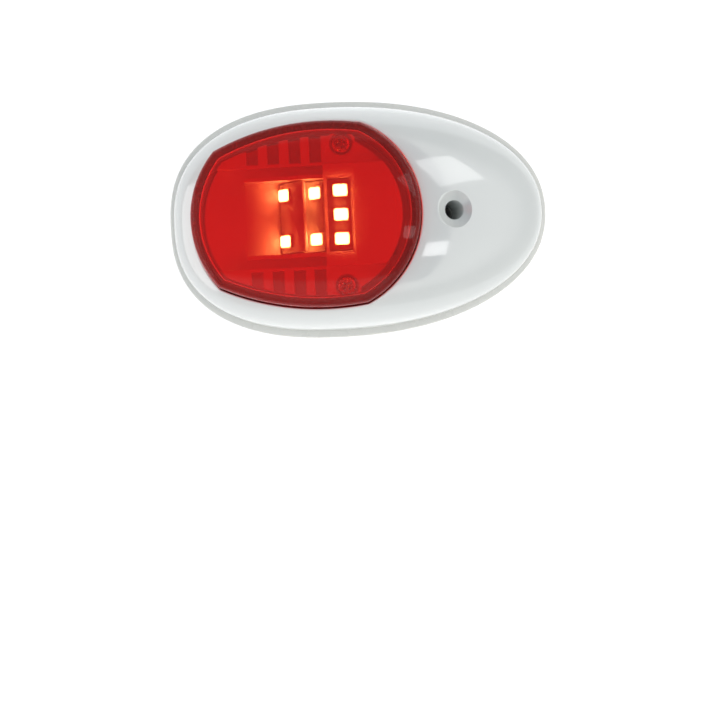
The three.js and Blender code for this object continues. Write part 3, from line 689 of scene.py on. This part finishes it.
def housing_skin():
    """The shell's outside, lip, window wall, inside and foot as one closed skin."""

    def inner_height(x, y):
        return shell_height(x, y, SHELL_WALL)

    skirt_top = SHELL_BOTTOM + SHELL_SKIRT
    lip = lip_rings()
    outer_edge = egg_ring(SHELL_EGG, skirt_top)
    inner_egg = inset_egg(SHELL_EGG, SHELL_WALL)
    inner_edge = egg_ring(inner_egg, skirt_top)
    outer = surface_rings(lip[0], outer_edge, shell_height)
    inner_window = window_ring(0, inner_height)
    inner = surface_rings(inner_window, inner_edge, inner_height)
    low_outer = egg_ring(inset_egg(SHELL_EGG, FOOT_EASE), SHELL_BOTTOM)
    low_inner = egg_ring(inner_egg, SHELL_BOTTOM)
    eased_edge = egg_ring(SHELL_EGG, SHELL_BOTTOM + FOOT_EASE)
    foot = [outer_edge, eased_edge, low_outer, low_inner, inner_edge]
    rings = lip[::-1] + outer[1:] + foot + inner[::-1]
    return ring_piece("housing_shell_skin", rings, looped=True)


def post(name, x, y, radius, bottom, lean=0.0):
    """A post that stands from a level up into the shell's wall."""
    slope = math.tan(math.radians(lean))
    top, low = [], []
    for px, py, _ in circle(x, y, radius, 0):
        height = shell_height(px, py) - POST_TOP_BELOW_SURFACE
        top.append((px, py, height))
        low.append((px - (height - bottom) * slope, py, bottom))
    return ring_piece(name, [low, top], capped=(True, True))


def make_housing():
    skin = housing_skin()
    pillar = post("pillar", TAIL_HOLE_X, 0, PILLAR_R, PILLAR_BOTTOM, TAIL_HOLE_LEAN)
    screw_x, screw_y = REAR_SCREW
    boss_foot = REAR_COVER_TOP + REAR_BOSS_GAP
    bosses = [
        post(f"boss{side}", screw_x, side * screw_y, REAR_BOSS_R, boss_foot) for side in (-1, 1)
    ]
    join(skin, pillar, *bosses)
    edge = HOLE_EASE
    hole = [
        (TAIL_HOLE_R, -20),
        (TAIL_HOLE_R, -COUNTERSINK_DEPTH - 0.3),
        (TAIL_HOLE_R + 0.04, -COUNTERSINK_DEPTH - 0.1),
        (TAIL_HOLE_R + 0.25, -COUNTERSINK_DEPTH + 0.1),
        (COUNTERSINK_R - edge, -0.25),
        (COUNTERSINK_R, 0.0),
        (COUNTERSINK_R + edge, 0.1),
        (COUNTERSINK_R + 4 * edge, 0.4),
        (COUNTERSINK_R + 4 * edge, 4),
    ]
    pilot = [(SCREW_PILOT_R, 3), (SCREW_PILOT_R, REAR_PILOT_TOP)]
    pilots = [turned(f"pilot{side}", pilot, screw_x, side * screw_y) for side in (-1, 1)]
    return cut(skin, turned("hole", hole, place=leaning_place()), *pilots)


# ---------------------------------------------------------------- lens and its seal


def lens_rings(inset, count=30, turns=12):
    """The lens surface from near its middle out to its edge, with fine rings round the edge."""
    middle = [(WINDOW_CENTRE_X, 0, 0)] * len(window_angles(inset))
    radius = max(LENS_INNER_EDGE_R, LENS_EDGE_R - inset + FIT_GAP)
    crown_edge = window_ring(inset + radius, 0)

    def height(x, y):
        return lens_height(x, y, inset)

    rings = [between(middle, crown_edge, (k + 1) / count, height) for k in range(count)]
    for k in range(1, turns + 1):
        short = radius * math.sin(math.pi / 2 * k / turns)
        rings.append(window_ring(inset + radius - short, height))
    return rings


def make_lens():
    """An inverted cup with a softened foot."""
    outer = lens_rings(FIT_GAP)
    inner = lens_rings(FIT_GAP + LENS_WALL)
    ease = LENS_FOOT_EASE
    foot = [
        window_ring(FIT_GAP, LENS_BOTTOM + ease),
        window_ring(FIT_GAP + ease, LENS_BOTTOM),
        window_ring(FIT_GAP + LENS_WALL - ease, LENS_BOTTOM),
        window_ring(FIT_GAP + LENS_WALL, LENS_BOTTOM + ease),
    ]
    rings = outer + foot + inner[::-1]
    points, faces = loft(rings)
    count = len(rings[0])
    last = (len(rings) - 1) * count
    for inset, first in ((FIT_GAP, 0), (FIT_GAP + LENS_WALL, last)):
        points.append((WINDOW_CENTRE_X, 0, lens_height(WINDOW_CENTRE_X, 0, inset)))
        faces += [(len(points) - 1, first + i, first + (i + 1) % count) for i in range(count)]
    piece = face_outwards(new_piece("lens_moulding", points, faces))
    shade(piece, 30)
    return piece


def make_seal():
    """A squeezed-out bead of adhesive, uneven along its length."""
    steps = RING_STEPS * 2

    def lumpy(level):
        def height(x, y):
            return level + 0.12 * noise.noise(Vector((x, y, level)) * 1.7)

        return height

    rings = [
        window_ring(FIT_GAP + 0.1, SEAL_BOTTOM, steps),
        window_ring(FIT_GAP + 0.1, LENS_BOTTOM - 0.1, steps),
        window_ring(FIT_GAP + 0.5, lumpy(LENS_BOTTOM - 0.13), steps),
        window_ring(FIT_GAP + 1.3, lumpy(LENS_BOTTOM - 0.13), steps),
        window_ring(FIT_GAP + LENS_WALL - 0.2, lumpy(LENS_BOTTOM - 0.16), steps),
        window_ring(FIT_GAP + LENS_WALL, SEAL_BOTTOM, steps),
    ]
    return ring_piece("lens_seal_bead", rings, looped=True)


# ---------------------------------------------------------------- base plate and gasket


def eased_egg_rings(egg, levels):
    """Rings of an egg outline, each given as (inset, height)."""
    return [egg_ring(inset_egg(egg, inset), z) for inset, z in levels]


def gland_x():
    low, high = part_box("cable_gland")
    return (low.x + high.x) / 2 / MM


def hull_holes(bottom, top):
    bore = [(HULL_SCREW_R, bottom), (HULL_SCREW_R, top)]
    holes = [turned(f"hull_hole{i}", bore, x) for i, x in enumerate(HULL_SCREW_XS)]
    flange = [(GLAND_FLANGE_R, bottom), (GLAND_FLANGE_R, top)]
    return holes + [turned("gland_hole", flange, gland_x())]


def make_gasket():
    levels = [(0.75, 0.0), (0.6, 0.15), (0.6, GASKET_TOP - 0.15), (0.7, GASKET_TOP)]
    rings = eased_egg_rings(BASE_EGG, levels)
    piece = ring_piece("mounting_gasket_foam", rings, capped=(True, True), sharp_angle=50)
    return cut(piece, *hull_holes(-1, GASKET_TOP + 1))


def bow_hook(rooted):
    """The stem and nose of the hook that holds the shell's bow end down."""
    x, thick, reach, half, top = (BOW_HOOK[k] for k in ("x", "thick", "reach", "half", "top"))
    stem_x = x + thick / 2
    stem_at = Matrix.Translation((stem_x, 0, 0))
    nose_at = Matrix.Translation((stem_x - reach / 2, 0, 0))
    stem = block("stem", thick / 2, half, rooted, top, place=stem_at)
    nose = block("nose", (thick + reach) / 2, half, REAR_COVER_TOP + 0.15, top, place=nose_at)
    return stem, nose


def make_base():
    """A shallow dish with a rounded rim, screw sinks, a tail screw post and the bow hook."""
    rim = RIM_ROUND
    well = inset_egg(SHELL_EGG, SHELL_LAND)
    levels = [(0.2, GASKET_TOP), (0.0, GASKET_TOP + 0.25), (0.0, BASE_RIM_TOP - rim)]
    for turn in (30, 60, 90):
        lift = rim * math.sin(math.radians(turn))
        levels.append((rim * (1 - math.cos(math.radians(turn))), BASE_RIM_TOP - rim + lift))
    rings = eased_egg_rings(BASE_EGG, levels)
    well_levels = [(-0.2, BASE_RIM_TOP), (0.0, BASE_RIM_TOP - 0.2), (0.0, BASE_FLOOR_TOP)]
    rings += eased_egg_rings(well, well_levels)
    piece = ring_piece("base_plate_moulding", rings, capped=(True, True))
    drop = shell_height(TAIL_HOLE_X, 0) - BASE_FLOOR_TOP
    foot_x = TAIL_HOLE_X - drop * math.tan(math.radians(TAIL_HOLE_LEAN))
    rooted = BASE_FLOOR_TOP - 0.5
    tail_post = turned("tail_post", [(PILLAR_R, rooted), (PILLAR_R, BASE_RIM_TOP)], foot_x)
    join(piece, tail_post, *bow_hook(rooted))
    sink = [(HULL_SCREW_R, BASE_FLOOR_TOP - HULL_SINK_DEPTH), (HULL_SINK_R, BASE_FLOOR_TOP + 0.01)]
    sinks = [turned(f"sink{i}", sink, x) for i, x in enumerate(HULL_SCREW_XS)]
    way = [(TAIL_CLEARANCE_R, -20), (TAIL_CLEARANCE_R, 0)]
    way = turned("tail_way", way, place=leaning_place())
    return cut(piece, *sinks, way, *hull_holes(0, BASE_FLOOR_TOP + 0.02))


def make_gland():
    """A rubber grommet with a lip that grips the supply cable."""
    bore, flange = GLAND_BORE_R, GLAND_FLANGE_R - 0.2
    profile = [
        (bore + 0.3, GLAND_BOTTOM),
        (flange - 0.5, GLAND_BOTTOM),
        (flange - 0.2, GLAND_BOTTOM + 0.15),
        (flange, GLAND_FLANGE_TOP - 0.15),
        (flange - 0.15, GLAND_FLANGE_TOP),
        (GLAND_NECK_R, GLAND_FLANGE_TOP),
        (GLAND_NECK_R, REAR_COVER_TOP + 0.1),
        (flange - 0.2, REAR_COVER_TOP + 0.1),
        (flange - 0.3, REAR_COVER_TOP + 0.5),
        (flange - 0.6, GLAND_TOP),
        (bore + 0.2, GLAND_TOP),
        (bore, 6.2),
        (bore + 0.25, 5.4),
        (bore, 4.6),
        (bore + 0.25, 4.0),
        (bore, 3.5),
    ]
    return turned("cable_gland_grommet", profile, gland_x(), looped=True)


# ---------------------------------------------------------------- LED boards, LEDs and screws


def middle_of(node):
    low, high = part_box(node)
    return (low + high) / 2 / MM


def tilted_place(node, tilt):
    """A frame at a CAD node's middle, its x axis up the board's slope."""
    return Matrix.Translation(middle_of(node)) @ Matrix.Rotation(-math.radians(tilt), 4, "Y")


def make_board(side, mask):
    node = f"{side}_led_board"
    low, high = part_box(node)
    half_y = (high.y - low.y) / 2 / MM
    tilt = math.radians(BOARD_TILTS[side])
    span = (high.x - low.x) / MM
    half_x = (span - BOARD_THICK * math.sin(tilt)) / math.cos(tilt) / 2
    half = BOARD_THICK / 2
    place = tilted_place(node, BOARD_TILTS[side])
    board = block(f"{node}_laminate", half_x, half_y, -half, half, 0.05, 0.2, place)
    return dress(board, mask, "led_board", node)


def make_led(node, tilt, frame_look, glow):
    """A surface-mount package: drafted frame with a low glowing dome on it."""
    half_x, half_y = LED_LENGTH / 2, LED_WIDTH / 2
    low = -LED_HEIGHT / 2
    rim = LED_HEIGHT / 2 - 0.3
    rings = [
        rounded_rectangle(half_x, half_y, 0.1, low),
        rounded_rectangle(half_x - 0.1, half_y, 0.12, rim - 0.06),
        rounded_rectangle(half_x - 0.14, half_y - 0.04, 0.12, rim),
        rounded_rectangle(half_x - 0.3, half_y - 0.2, 0.5, rim),
        rounded_rectangle(half_x - 0.34, half_y - 0.24, 0.55, rim + 0.2),
        rounded_rectangle(half_x - 0.5, half_y - 0.4, 0.6, rim + 0.28),
        rounded_rectangle(half_x - 0.8, half_y - 0.7, 0.5, rim + 0.3),
    ]
    place = tilted_place(node, tilt)
    package = ring_piece(f"{node}_package", rings, capped=(True, True), place=place)
    dress(package, frame_look, "led_package", node)
    package.data.materials.append(glow)
    to_package = place.inverted()
    for face in package.data.polygons:
        if (to_package @ (face.center / MM)).z > rim + GLOW_DOME_BASE:
            face.material_index = 1
    return package


def make_screw(node, height_sign=1):
    """A pan-head screw with a tapered cross recess. height_sign is -1 for one driven from below."""
    low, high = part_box(node)
    centre = middle_of(node)
    upright = height_sign > 0
    seat = high.z / MM - PAN_HEAD_H if upright else low.z / MM + PAN_HEAD_H
    length = (high.z - low.z) / MM - PAN_HEAD_H
    profile = [
        (0.3, -length),
        (SCREW_SHANK_R * 0.95, -length + 1.2),
        (SCREW_SHANK_R, -0.1),
        (SCREW_SHANK_R, 0),
        (PAN_HEAD_R - 0.1, 0),
        (PAN_HEAD_R, 0.1),
        (PAN_HEAD_R, PAN_HEAD_H * 0.4),
        (PAN_HEAD_R * 0.95, PAN_HEAD_H * 0.62),
        (PAN_HEAD_R * 0.82, PAN_HEAD_H * 0.83),
        (PAN_HEAD_R * 0.62, PAN_HEAD_H * 0.95),
        (PAN_HEAD_R * 0.4, PAN_HEAD_H),
    ]
    turn = CROSS_TURN_UPPER if centre.y > 0 else CROSS_TURN_LOWER
    flip = Matrix.Rotation(0 if upright else math.pi, 4, "X")
    place = Matrix.Translation((centre.x, centre.y, seat)) @ flip @ Matrix.Rotation(turn, 4, "Z")
    screw = turned(f"{node}_pan_head", profile, place=place)
    blades = []
    for k in range(2):
        deep = rounded_rectangle(0.5, 0.2, 0.05, PAN_HEAD_H - 0.75)
        wide = rounded_rectangle(1.25, 0.3, 0.08, PAN_HEAD_H + 0.3)
        spin = place @ Matrix.Rotation(k * math.pi / 2, 4, "Z")
        blades.append(ring_piece(f"blade{k}", [deep, wide], capped=(True, True), place=spin))
    return cut(screw, *blades)


# ---------------------------------------------------------------- assembly


def build_light():
    rubber, mask = moulded_rubber(), board_mask()
    steel, epoxy, wire = stainless_steel(), black_epoxy(), lead_insulation()
    dress(make_housing(), glossy_shell(), "shell_abs", "housing_shell")
    dress(make_base(), cream_base(), "base_abs", "base_plate")
    dress(make_gasket(), foam(), "gasket_rubber", "mounting_gasket")
    dress(make_gland(), rubber, "gasket_rubber", "cable_gland")
    dress(make_lens(), red_lens(), "red_lens", "lens")
    dress(make_seal(), seal_adhesive(), "seal_bead", "lens_seal")
    dress(softened_copy("led_carrier"), white_carrier(), "carrier_white", "led_carrier")
    dress(softened_copy("rear_cover", 0.15), grey_cover(), "cover_abs", "rear_cover")
    package, glow = led_frame(), led_phosphor()
    for side, places in (("forward", 2), ("quarter", 2), ("side", 3)):
        make_board(side, mask)
        names = ("upper", "lower") if places == 2 else ("upper", "middle", "lower")
        for name in names:
            make_led(f"{side}_led_{name}", BOARD_TILTS[side], package, glow)
        paint(f"{side}_led_resistor", epoxy)
        paint(f"{side}_jumper_lead", wire)
    for side in ("upper", "lower"):
        node = f"carrier_screw_{side}"
        dress(make_screw(node), steel, "screw_steel", node)
        node = f"rear_cover_screw_{side}"
        dress(make_screw(node, -1), steel, "screw_steel", node)
    paint("carrier_gasket", rubber)
    paint("driver_board", green_mask())
    paint("driver_chip", epoxy)
    paint("polarity_diode", epoxy)
    paint("power_inductor", ferrite())
    paint("input_capacitor", capacitor_can())


def paint(node, material):
    """Gives a CAD node that stays in view its material."""
    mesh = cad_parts[node].data
    mesh.materials.clear()
    mesh.materials.append(material)


# ---------------------------------------------------------------- studio

CAMERA_HEIGHT = 370
CAMERA_OFFSET = (-0.35, -31.92)
CAMERA_ROLL = -2.6
CAMERA_LENS = 82.2
FLOOR_HALF = 3000
FLOOR_GLOW = 0.6


def add_camera():
    camera = bpy.data.objects.new("camera", bpy.data.cameras.new("camera"))
    camera.data.sensor_width = 36
    camera.data.lens = CAMERA_LENS
    camera.data.clip_start = 0.01
    camera.location = Vector((*CAMERA_OFFSET, CAMERA_HEIGHT)) * MM
    camera.rotation_euler = (0, 0, math.radians(CAMERA_ROLL))
    bpy.context.scene.collection.objects.link(camera)
    bpy.context.scene.camera = camera


def add_floor():
    surface = Surface("pale_floor", 0.9)
    surface.colours(surface.noise(60, 2), (0.9, 0.9, 0.9), (0.93, 0.93, 0.93))
    surface.set(Emission_Color=(1, 1, 1, 1), Emission_Strength=FLOOR_GLOW)
    half = FLOOR_HALF
    points = [(-half, -half, 0), (half, -half, 0), (half, half, 0), (-half, half, 0)]
    floor = new_piece("floor", points, [(0, 1, 2, 3)])
    floor.data.materials.append(surface.material)


def add_softbox(name, towards, distance, size, watts, spin=0):
    """A rectangular soft light that looks at the object. towards and distance place it."""
    light = bpy.data.lights.new(name, "AREA")
    light.shape = "RECTANGLE"
    light.size, light.size_y = size[0] * MM, size[1] * MM
    light.energy = watts
    lamp = bpy.data.objects.new(name, light)
    at = Vector(towards).normalized() * distance * MM
    spun = Matrix.Rotation(math.radians(spin), 4, "Z").to_quaternion()
    turn = (-at).to_track_quat("-Z", "Y") @ spun
    lamp.matrix_world = Matrix.Translation(at) @ turn.to_matrix().to_4x4()
    bpy.context.scene.collection.objects.link(lamp)


TENT_LIGHT = (1.76, 1.74, 1.7, 1)
OPENING_LIGHT = (0.34, 0.38, 0.44, 1)
TENT_FOOT = 0.35
FOOT_FADE = (0.3, 0.5)

# Where each side of the opening fades out, as sideways travel per unit of rise.
FADE_TAIL = (1.0, 1.08)
FADE_BOW = (1.6, 2.2)
FADE_UP = (1.8, 2.1)
FADE_DOWN = (1.1, 1.25)


def add_tent():
    """A pale light tent with a dim opening overhead and a dim foot."""
    world = bpy.data.worlds.new("tent")
    bpy.context.scene.world = world
    world.use_nodes = True
    tree = world.node_tree
    background = tree.nodes["Background"]
    direction = tree.nodes.new("ShaderNodeTexCoord").outputs["Generated"]
    split = tree.nodes.new("ShaderNodeSeparateXYZ")
    tree.links.new(direction, split.inputs[0])
    rise = maths(tree, "MAXIMUM", split.outputs["Z"], 0.02)
    across = maths(tree, "DIVIDE", split.outputs["X"], rise)
    along = maths(tree, "DIVIDE", split.outputs["Y"], rise)
    sides = (
        step_down(tree, across, *FADE_TAIL),
        step_down(tree, maths(tree, "MULTIPLY", across, -1.0), *FADE_BOW),
        step_down(tree, along, *FADE_UP),
        step_down(tree, maths(tree, "MULTIPLY", along, -1.0), *FADE_DOWN),
    )
    opening = sides[0]
    for side in sides[1:]:
        opening = maths(tree, "MULTIPLY", opening, side)
    foot = step_down(tree, split.outputs["Z"], *FOOT_FADE)
    foot = maths(tree, "MULTIPLY", foot, 1 - TENT_FOOT)
    above = maths(tree, "SUBTRACT", 1.0, foot)
    light = tree.nodes.new("ShaderNodeMixRGB")
    light.inputs["Color1"].default_value = TENT_LIGHT
    light.inputs["Color2"].default_value = OPENING_LIGHT
    tree.links.new(opening, light.inputs["Fac"])
    tree.links.new(light.outputs["Color"], background.inputs["Color"])
    tree.links.new(above, background.inputs["Strength"])


def maths(tree, operation, first, second):
    """A Math node, where each input is a number or a socket."""
    node = tree.nodes.new("ShaderNodeMath")
    node.operation = operation
    for socket, value in zip(node.inputs, (first, second)):
        if isinstance(value, (int, float)):
            socket.default_value = value
        else:
            tree.links.new(value, socket)
    return node.outputs[0]


def step_down(tree, value, start, end):
    """1 below start, 0 above end."""
    node = tree.nodes.new("ShaderNodeMapRange")
    node.interpolation_type = "SMOOTHSTEP"
    node.inputs["From Min"].default_value = start
    node.inputs["From Max"].default_value = end
    node.inputs["To Min"].default_value = 1.0
    node.inputs["To Max"].default_value = 0.0
    tree.links.new(value, node.inputs["Value"])
    return node.outputs["Result"]


def add_studio():
    add_camera()
    add_floor()
    add_tent()
    add_softbox("key", (1.15, 0.66, 1), 700, (200, 200), 0.36)
    add_softbox("window", (0.9, -0.3, 1), 600, (90, 90), 0.13, spin=15)
    add_softbox("fill", (-4.5, -0.5, 1), 900, (900, 300), 2.0)
    bpy.context.scene.view_settings.view_transform = "Standard"
    bpy.context.scene.cycles.sample_clamp_indirect = 0


build_light()
add_studio()
